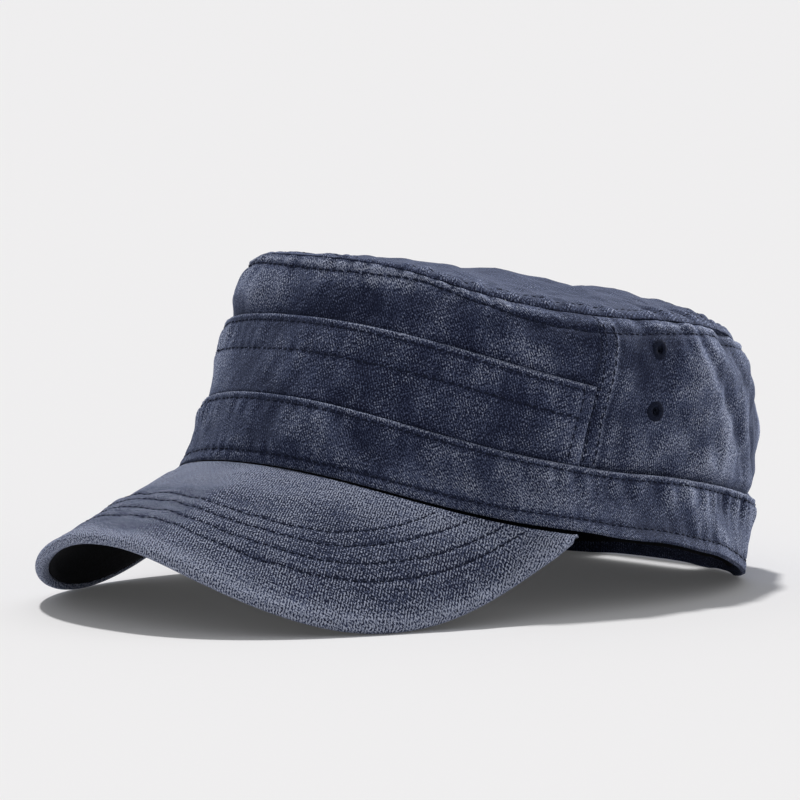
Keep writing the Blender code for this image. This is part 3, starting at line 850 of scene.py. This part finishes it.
# %% [markdown]
# ## Oval top
# The top is a flat oval whose edge stands up from the seam as a soft roll, held by its own row of stitches.
# Its grid is laid as rings from the middle out over the roll, then back underneath.

# %% Shape of the top
TOP_STITCH = 4.6
# Turn, then how high the roll stands there above the seam, in millimetres
ROLL_HEIGHT = (
    (-180, 3.4), (-140, 1.6), (-100, 1.2), (-50, 0.8), (0, 0.9),
    (35, 2.0), (60, 2.8), (100, 2.3), (150, 3.2), (180, 3.4),
)
ROLL_REACH, MIDDLE_RISE, TOP_DOME = 1.3, 2.8, 1.6
lean = math.radians(CROWN_LEAN)
TOP_UP = np.array([0, math.sin(lean), math.cos(lean)])
rim_front, rim_back = skin(np.array([0.0, 180.0]), even(RIM, np.array([0.0, 180.0])), 0.0)
TOP_MIDDLE = (rim_front + rim_back) / 2


def top_skin(turn, inward, above=0.0):
    """Point of the top at a distance in from the rim."""
    turn, inward = np.broadcast_arrays(np.asarray(turn, float), np.asarray(inward, float))
    rim = skin(turn, even(RIM, turn), -EASE_IN)
    reach = np.linalg.norm(rim - TOP_MIDDLE, axis=-1)
    share = np.clip(1 - inward / reach, 0, 1)
    flat = TOP_MIDDLE + (rim - TOP_MIDDLE) * share[..., None]
    table = np.array(ROLL_HEIGHT)
    roll = np.interp(signed(turn), table[:, 0], table[:, 1])
    level = roll * share + MIDDLE_RISE * (1 - share)
    rise = level * (1 - np.exp(-np.maximum(inward, 0) / ROLL_REACH)) + TOP_DOME * (1 - share ** 2)
    edge = np.clip(inward / 6, 0, 1)
    rise = rise - 0.42 * hump(inward, TOP_STITCH, 0.8) + 0.3 * top_puckers(turn) * hump(inward, 2.4, 1.8)
    rise = rise + 0.3 * top_puckers(turn) * hump(inward, 8.0, 3.5)
    loose = 0.7 * slack(flat + 80) * ease(inward / 25) + 0.22 * crumple(flat)
    rise = rise + edge * loose + 0.05 * fine(flat)
    return flat + TOP_UP * (rise + above)[..., None]


# %% Make the top
def top_panel():
    turns = np.linspace(0, 360, 521)
    edge = np.array([3.4, 2.4, 1.4, 0.7, 0.2, 0.0, 0.15, 0.4, 0.8, 1.3, 2.0, 2.8, 3.7, 4.6, 5.5, 6.4])
    edge_above = np.array([-5.0, -4.0, -2.6, -1.2, -0.4, 0.0])
    inside = np.concatenate([np.linspace(7.4, 30, 24), np.linspace(33, 78, 16)])
    inward = np.concatenate([edge, inside, [120.0]])
    above = np.concatenate([edge_above, np.zeros(len(inward) - len(edge_above))])
    under = np.array([120.0, 60, 30, 12, 6, 4.4])
    inward = np.concatenate([inward, under, edge[:1]])
    above = np.concatenate([above, [-CLOTH] * (len(under) - 1) + [-4.0], edge_above[:1]])
    points = top_skin(turns[:, None], inward[None, :], above[None, :])
    # The whole top is kept dark; darker in its row of stitches, partly painted shade; paler on the roll's
    # crest; painted shade where the roll turns down into the seam
    hollow = hump(inward, TOP_STITCH, 0.8) * -0.24
    roll = 0.36 * hump(inward, 1.4, 1.2) - 0.35 * (above < -0.3) * (inward < 1)
    ripple = 0.2 * top_puckers(turns)[:, None] * hump(inward, 5, 5)[None, :]
    tones = {"wear_and_shade": np.clip(0.04 + ripple + (hollow + roll)[None, :], 0, 1)}
    ruler = points[..., :2]
    item = lay_sheet("top_cloth", points, ruler, tones)
    item.data.materials.append(DENIM)
    return place(item, "denim", "top_panel")


top_panel()

# %% [markdown]
# ## Peak
# The peak is a stiff board between two cloths. The upper cloth is rolled over the edge and hemmed
# underneath, and four rows of stitches quilt it in arcs that start and end at the head band. It is the most
# worn part of the cap.

# %% Shape of the peak
# Reach from the head band in the middle, where along the joint the row ends, and how fast it falls off
PEAK_ROWS = ((33.0, 0.577, 0.85), (38.5, 0.67, 1.0), (44.8, 0.76, 1.0), (51.0, 0.828, 1.0))
peak_waves, peak_slack = ripples(21, 9, 18), ripples(22, 30, 60)


def peak_middle(along, out):
    """Point of the peak's middle layer: from -1 to 1 along its joint, and from 0 to 1 out to its edge."""
    along, out = np.broadcast_arrays(np.asarray(along, float), np.asarray(out, float))
    joint = crown(along * JOINT_ANGLE, 0)
    end = crown(JOINT_ANGLE, 0)
    round_edge = 90 * (along + 0.5 * np.sign(along) * along ** 4 * (1 - np.abs(along)))
    angle = np.radians(round_edge)
    side, ahead = power(np.sin(angle), PEAK_POWER), power(np.cos(angle), PEAK_POWER)
    front = -LEVELS[0][1] * CROWN_LENGTH / 2 - PEAK_LENGTH
    angles = [row[0] for row in PEAK_EDGE] + [90]
    heights = [row[1] * PEAK_LENGTH for row in PEAK_EDGE] + [end[2]]
    knots = [-a for a in angles[:0:-1]] + angles
    edge = np.stack([
        PEAK_WIDTH / 2 * side - (PEAK_WIDTH / 2 - end[0]) * np.sign(side) * np.abs(side) ** 6,
        end[1] + (front - end[1]) * ahead,
        cubic(knots, heights[:0:-1] + heights, round_edge),
    ], -1)
    joint = joint - [0, 0, PEAK_HALF + GAP]
    edge[..., 2] = np.minimum(edge[..., 2], joint[..., 2] - 0.5)
    point = joint + (edge - joint) * out[..., None]
    point[..., 2] += PEAK_SWELL * 4 * out * (1 - out)
    return point


def peak_reach(along):
    return np.linalg.norm(peak_middle(along, 1.0) - peak_middle(along, 0.0), axis=-1)


def peak_normal(along, out):
    """Upward normal of the peak. It turns less from crown to edge where the peak narrows to its ends."""
    along, out = np.broadcast_arrays(np.asarray(along, float), np.asarray(out, float))
    steady = np.clip(along, 0.08 - PEAK_ENDS, PEAK_ENDS - 0.08)
    fade = np.clip((PEAK_ENDS - np.abs(along)) / 0.25, 0, 1)
    normal = across(peak_middle, steady, 0.5 + (np.clip(out, 0.02, 0.98) - 0.5) * fade, 0.01)
    return normal * np.sign(normal[..., 2:])


def row_out(along, row):
    """Distance from the head band at which a row of stitches runs, below 0 past its ends."""
    reach, end, fall = row
    share = 1 - (np.abs(along) / end) ** 3
    return reach * np.sign(share) * np.abs(share) ** fall


def peak_relief(along, out):
    away = out * peak_reach(along)
    point = peak_middle(along, out)
    relief = 0.28 * peak_slack(point) + 0.16 * peak_waves(point) + 0.05 * fine(point)
    for row in PEAK_ROWS:
        near = away - row_out(along, row)
        relief = relief - 0.34 * hump(near, 0, 0.8) + 0.12 * peak_waves(point * 1.6) * hump(near, 0, 3.5)
    return relief * ease(np.minimum(away, peak_reach(along) - away + 2.0) / 3.0)


def peak_path(along, path):
    """Skin of the peak through rows: share of the way out, distance off the middle layer, distance beyond."""
    reach = peak_reach(along)
    thin = np.minimum(1, 0.3 * reach / PEAK_HALF)[:, None]
    rows = []
    for out, lift_by, beyond in path:
        out = np.broadcast_to(out, along.shape)
        ahead = peak_middle(along, 1.0) - peak_middle(along, 0.9)
        ahead = ahead / np.linalg.norm(ahead, axis=-1, keepdims=True)
        lifted = np.broadcast_to(lift_by, along.shape)[:, None] * thin
        spot = peak_middle(along, out) + peak_normal(along, out) * lifted
        rows.append(spot + ahead * np.reshape(beyond, (-1, 1)))
    points = np.stack(rows, 1)
    points[..., 2] = np.maximum(points[..., 2], 0)
    return points


def peak_skin(along, out, above=0.0):
    """Upper side of the peak."""
    along, out = np.broadcast_arrays(np.asarray(along, float), np.asarray(out, float))
    thin = np.minimum(1, 0.3 * peak_reach(along) / PEAK_HALF)
    lifted = (PEAK_HALF + peak_relief(along, out)) * thin + above
    return peak_middle(along, out) + peak_normal(along, out) * lifted[..., None]


def flat_ruler(points, edge_row):
    """The peak's cloth is cut from one straight piece: the ruler lies flat, and runs on over the edge."""
    middle = points[:, edge_row // 2]
    bend = lengths(middle * [1, 0, 1], 0)
    ends = []
    for row in (points[:, 0], points[:, edge_row]):
        ends.append(np.stack([np.interp(row[:, 0], middle[:, 0], bend), row[:, 1]], -1))
    start, end = ends
    heading = (end - start) / np.linalg.norm(end - start, axis=-1, keepdims=True)
    return start[:, None] + heading[:, None] * lengths(points, 1)[..., None]


# %% Make the peak
def peak_cover():
    along = np.sin(np.linspace(-1, 1, 401) * math.pi / 2 * 0.93) / math.sin(math.pi / 2 * 0.93) * PEAK_ENDS
    reach = peak_reach(along)
    hem = 1 - np.minimum(PEAK_HEM, 0.6 * reach) / reach
    roll = np.minimum(PEAK_HALF, 0.3 * reach)
    brink = 1 - 0.2 * roll / reach
    shares = np.linspace(0, 1, 74)
    core = GAP / 2
    path, tops = [], []
    for s in shares:
        path.append((s * brink, PEAK_HALF + peak_relief(along, s * brink), 0))
    for a in np.radians((70, 50, 30, 10, -10, -30, -50, -70)):
        path.append((np.ones_like(along), PEAK_HALF * math.sin(a), roll * math.cos(a)))
    for s in (0.75, 0.5, 0.25, 0):
        path.append((hem + (1 - hem) * s, -PEAK_HALF, 0))
    path.append((hem, -core, 0))
    for a in np.radians((-60, 0, 60)):
        path.append((np.ones_like(along), core * math.sin(a), core * math.cos(a)))
    for s in (0.9, 0.6, 0.3, 0):
        path.append((s * hem, core, 0))
    path.append(path[0])
    points = peak_path(along, path)
    outs = np.stack([np.broadcast_to(p[0], along.shape) for p in path], 1)
    away = outs * reach[:, None]
    sideways = along[:, None]
    # Paler near the band and towards the far left: partly wear, partly painted light from the left
    pale_reach = 19 - 13 * ease((sideways + 0.05) / 0.4)
    tone = 0.32 + (0.34 + 0.20 * hump(sideways, -0.35, 0.5)) * (1 - ease((away - pale_reach) / 14))
    tone = tone - 0.16 * hump(sideways, 0.6, 0.3) * hump(away, 30, 16) + 0.12 * ease(-sideways / 0.6)
    # Darker in each row of stitches, partly painted shade, with paler raised cloth beside it
    for row in PEAK_ROWS:
        near = away - row_out(along[:, None], row)
        tone = tone - 0.5 * hump(near, 0, 0.8) + 0.22 * hump(np.abs(near), 2.0, 0.8)
    # Paler towards the worn rolled edge, with a narrow pale line on its crest that is partly a painted
    # highlight; painted shade at the joint with the band
    from_edge = reach[:, None] - away
    tone = tone + 0.44 * hump(from_edge, 0, 8) + 0.40 * hump(from_edge, 1.6, 2.4) - 0.3 * hump(away, 0, 0.6)
    tone = tone + 0.15 * peak_relief(along[:, None] + 0 * outs, outs)
    ruler = flat_ruler(points, len(shares) - 1)
    item = lay_sheet("peak_cloth", points, ruler, {"wear_and_shade": np.clip(tone, 0, 1)}, cap_ends=True)
    item.data.materials.append(DENIM_WORN)
    return place(item, "denim_worn", "peak_top")


def peak_lining():
    along = np.linspace(-PEAK_ENDS, PEAK_ENDS, 161)
    reach = peak_reach(along)
    edge = 1 - (np.minimum(PEAK_HEM, 0.6 * reach) + GAP) / reach
    shares = np.linspace(0, 1, 22)
    path = [(s * edge, -PEAK_HALF, 0) for s in shares] + [(edge, -1.0, 0)]
    path += [(s * edge, -GAP / 2, 0) for s in (1, 0.66, 0.33, 0)] + [(0 * edge, -PEAK_HALF, 0)]
    points = peak_path(along, path)
    ruler = np.stack([lengths(points[:, 10:11], 0) + 0 * points[..., 0], lengths(points, 1)], -1)
    item = lay_sheet("peak_lining_cloth", points, ruler, {"wear_and_shade": 0.5}, cap_ends=True)
    item.data.materials.append(LINING_AND_SHADE)
    return place(item, "lining", "peak_under")


peak_cover()
peak_lining()

# %% [markdown]
# ## Sweatband
# Inside the crown a band of plain cloth covers the seam of the head band; its near-black colour is partly
# painted shade. Only its lower part shows, under the raised near side.


# %% Make the sweatband
def sweatband():
    outward = WALL_OUT - CLOTH - GAP
    high = even(BAND_TOP, TURNS) + 3.0
    heights, offsets = folded_profile(high * 0.10, high, LINING, 0.08)
    turn = TURNS[:, None]
    points = skin(turn, heights, offsets + outward)
    ruler = np.stack([lengths(points[:, :1], 0) + 0 * heights, lengths(points, 1)], -1)
    item = lay_sheet("sweatband_cloth", points, ruler, {"wear_and_shade": 0.5})
    item.data.materials.append(LINING_AND_SHADE)
    return place(item, "lining", "sweatband")


sweatband()

# %% [markdown]
# ## Stitches
# One stitch is a short length of thread that comes out of the cloth, lies on it and dives in again. It is
# modelled once, as a bent six-sided rod, and copied along each row with small differences in length and
# heading. There are hundreds, so the copies of a group of rows are gathered into one mesh in code.

# %% One stitch, and a row of them
STITCH_PITCH, STITCH_LENGTH, STITCH_RADIUS = 3.0, 2.4, 0.30
hexagon = np.radians(np.arange(6) * 60)
# Share of the stitch's length, height above the cloth for a thread of SECTION_RADIUS, and share of the
# radius
STITCH_SECTIONS = (
    (-0.5, -0.30, 0.55), (-0.32, 0.08, 0.9), (0.0, 0.16, 1.0), (0.32, 0.08, 0.9), (0.5, -0.30, 0.55),
)
SECTION_RADIUS = 0.27


def at_run(run, table, distance):
    """A point or direction from a table, at a distance along its line."""
    return np.array([np.interp(distance, run, table[:, axis]) for axis in range(3)])


def stitch_row(line, normal, seed):
    """Vertices and faces of the stitches along a line of points in millimetres."""
    draw = np.random.default_rng(seed)
    run = lengths(line, 0)
    count = int(run[-1] / STITCH_PITCH)
    points, faces = [], []
    for k in range(count):
        middle = (k + 0.5) * STITCH_PITCH + draw.uniform(-0.12, 0.12)
        size = STITCH_LENGTH * draw.uniform(0.92, 1.06)
        centre = at_run(run, line, middle)
        outward = at_run(run, normal, middle)
        outward /= np.linalg.norm(outward)
        heading = at_run(run, line, middle + size / 2) - at_run(run, line, middle - size / 2)
        heading /= np.linalg.norm(heading)
        side = np.cross(outward, heading)
        side /= np.linalg.norm(side)
        heading = heading + side * draw.uniform(-0.10, 0.10)
        start = len(points)
        for share, rise, thick in STITCH_SECTIONS:
            spot = centre + heading * share * size + outward * (rise * STITCH_RADIUS / SECTION_RADIUS)
            for angle in hexagon:
                spread_by = side * math.cos(angle) + outward * math.sin(angle) * 0.8
                points.append(spot + spread_by * STITCH_RADIUS * thick)
        rings = len(STITCH_SECTIONS)
        for r in range(rings - 1):
            for s in range(6):
                a, b = start + r * 6 + s, start + r * 6 + (s + 1) % 6
                faces.append((a, b, b + 6, a + 6))
        faces.append(tuple(start + s for s in range(5, -1, -1)))
        faces.append(tuple(start + (rings - 1) * 6 + s for s in range(6)))
    return points, faces


def sew(name, rows):
    """One object for the stitches of one or more rows. A row is its points and their outward normals."""
    points, faces = [], []
    for number_of, (line, normal) in enumerate(rows):
        more, their = stitch_row(line, normal, number_of + len(name))
        faces += [tuple(index + len(points) for index in face) for face in their]
        points += more
    mesh = bpy.data.meshes.new(name)
    mesh.from_pydata([tuple((p + [0, SHIFT_Y, 0]) * MM) for p in points], [], faces)
    item = bpy.data.objects.new(name, mesh)
    scene.collection.objects.link(item)
    bpy.ops.object.select_all(action="DESELECT")
    item.select_set(True)
    bpy.context.view_layer.objects.active = item
    bpy.ops.object.mode_set(mode="EDIT")
    bpy.ops.mesh.select_all(action="SELECT")
    bpy.ops.mesh.normals_make_consistent(inside=False)
    bpy.ops.object.mode_set(mode="OBJECT")
    bpy.ops.object.shade_smooth()
    mesh.materials.append(THREAD)
    return place(item, "thread")


def on(surface, first, second):
    """A row on a surface, with outward normals."""
    first, second = np.broadcast_arrays(np.asarray(first, float), np.asarray(second, float))
    return surface(first, second), across(surface, first, second, 0.3)


# %% Sew the rows
whole = np.linspace(0, 360, 1441)
front = np.linspace(-(SEAM_ANGLE - 0.8), SEAM_ANGLE - 0.8, 701)
behind = np.linspace(SEAM_ANGLE + 0.8, 360 - SEAM_ANGLE - 0.8, 901)


def back_skin(turn, height):
    return wall_skin(turn, height, 0.0, True)


sew("band_stitches", [
    on(band_skin, whole, HEM_STITCH),
    on(band_skin, whole, even(BAND_TOP, whole) - FOLD_STITCH),
])
END_TURN = 73
end_heights = np.linspace(even(BAND_TOP, END_TURN) + 1.5, even(STRIP_TOP, END_TURN) - 1.5, 60)
ends = [on(strip_skin, side * (SEAM_ANGLE - STRIP_END / SEAM_DEGREE), end_heights) for side in (1, -1)]
sew("strip_stitches", [
    on(strip_skin, front, even(STRIP_TOP, front) - FOLD_STITCH),
    on(strip_skin, front, even(STRIP_TOP, front) - STRIP_MIDDLE),
    *ends,
])
laps = []
for side in (1, -1):
    for away in (1.3, SEAM_LAP - 1.2):
        turn = side * (SEAM_ANGLE + away / SEAM_DEGREE)
        low, high = float(even(BAND_TOP, turn)) + 1, float(even(RIM, turn)) - 2.5
        laps.append(on(back_skin, turn, np.linspace(low, high, 120)))
sew("wall_stitches", [
    on(wall_skin, front, even(RIM, front) - rim_stitch(front)),
    on(back_skin, behind, even(RIM, behind) - rim_stitch(behind)),
    *laps,
])
top_line = top_skin(whole, TOP_STITCH)
top_normal = np.broadcast_to(TOP_UP, top_line.shape)
sew("top_stitches", [(top_line, top_normal)])
rows = []
for row in PEAK_ROWS:
    along = np.linspace(-row[1] * 0.995, row[1] * 0.995, 701)
    out = np.clip(row_out(along, row) / peak_reach(along), 0, 1)
    rows.append((peak_skin(along, out), peak_normal(along, out)))
sew("peak_stitches", rows)


# %% [markdown]
# ## Air holes
# Each air hole is a small hole whose edge is bound with thread, wrapped round and round. The ring is a
# torus whose surface is pulled into some thirty bundles.

# %% Cut and bind the air holes
EYELET_TURN, EYELET_SHARES = 90.8, (("upper", 0.79), ("lower", 0.39))
EYELET_RADIUS, EYELET_ROD = 2.3, 1.0


def eyelets():
    cutters = []
    for side, hand in ((1, "left"), (-1, "right")):
        for row, share in EYELET_SHARES:
            turn = side * EYELET_TURN
            height = even(BAND_TOP, turn) + (even(RIM, turn) - even(BAND_TOP, turn)) * share
            line, normal = on(back_skin, turn, height)
            facing = Vector(normal).to_track_quat("Z", "Y").to_matrix().to_4x4()
            stand = Matrix.Translation((Vector(line) + Vector((0, SHIFT_Y, 0))) * MM) @ facing
            bpy.ops.object.select_all(action="DESELECT")
            bpy.ops.mesh.primitive_torus_add(
                major_segments=120, minor_segments=12,
                major_radius=EYELET_RADIUS * MM, minor_radius=EYELET_ROD * MM,
            )
            ring_item = bpy.context.object
            ring_item.name = ring_item.data.name = f"eyelet_thread_{hand}_{row}"
            for vertex in ring_item.data.vertices:
                turned = math.atan2(vertex.co.y, vertex.co.x)
                spoke = Vector((math.cos(turned), math.sin(turned), 0)) * EYELET_RADIUS * MM
                wrap = 1 + 0.13 * math.cos(turned * 30)
                vertex.co = spoke + (vertex.co - spoke) * wrap
                vertex.co.z *= 0.62
            ring_item.data.transform(stand)
            bpy.ops.object.shade_smooth()
            ring_item.data.materials.append(THREAD)
            place(ring_item, "thread", f"eyelet_{hand}_{row}")
            bpy.ops.object.select_all(action="DESELECT")
            bpy.ops.mesh.primitive_cylinder_add(vertices=24, radius=(EYELET_RADIUS - 0.4) * MM, depth=0.012)
            cutter = bpy.context.object
            cutter.data.transform(stand)
            cutters.append(cutter)
    for cutter in cutters:
        bpy.ops.object.select_all(action="DESELECT")
        back_wall.select_set(True)
        bpy.context.view_layer.objects.active = back_wall
        hole = back_wall.modifiers.new("hole", "BOOLEAN")
        hole.operation, hole.solver, hole.object = "DIFFERENCE", "EXACT", cutter
        bpy.ops.object.modifier_apply(modifier=hole.name)
    for cutter in cutters:
        bpy.data.objects.remove(cutter)
    print("back wall after its holes:", len(back_wall.data.polygons), "faces")


eyelets()

# %% Finish
bpy.context.view_layer.update()
